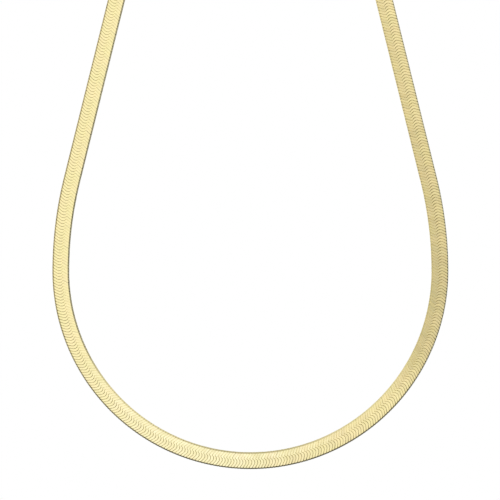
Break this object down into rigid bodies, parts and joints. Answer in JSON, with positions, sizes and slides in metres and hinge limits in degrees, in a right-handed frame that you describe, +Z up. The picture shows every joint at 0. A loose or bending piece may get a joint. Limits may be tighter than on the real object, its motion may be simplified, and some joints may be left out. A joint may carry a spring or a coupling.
{
  "type": "flat snake chain necklace",
  "caption": "Gold flat snake (herringbone) chain necklace, closed with a lobster clasp and hanging in a teardrop loop from its top ring.",
  "frame": {"origin": "where a hook bears on the inside of the top ring, from which the closed necklace hangs", "axes": "+Z up, the loop lies in the XZ plane, and its face, as pictured, looks towards -Y"},
  "size_m": [0.1066, 0.0048, 0.2739],
  "materials": {
    "chain_gold": "polished yellow gold, fine link grooves",
    "fitting_gold": "polished yellow gold"
  },
  "bodies": {
    "root": {"chain": "chain_gold", "top_ring": "fitting_gold", "clasp": "fitting_gold", "link_ring": "fitting_gold", "end_cap_left": "fitting_gold", "end_cap_right": "fitting_gold"}
  },
  "joints": []
}
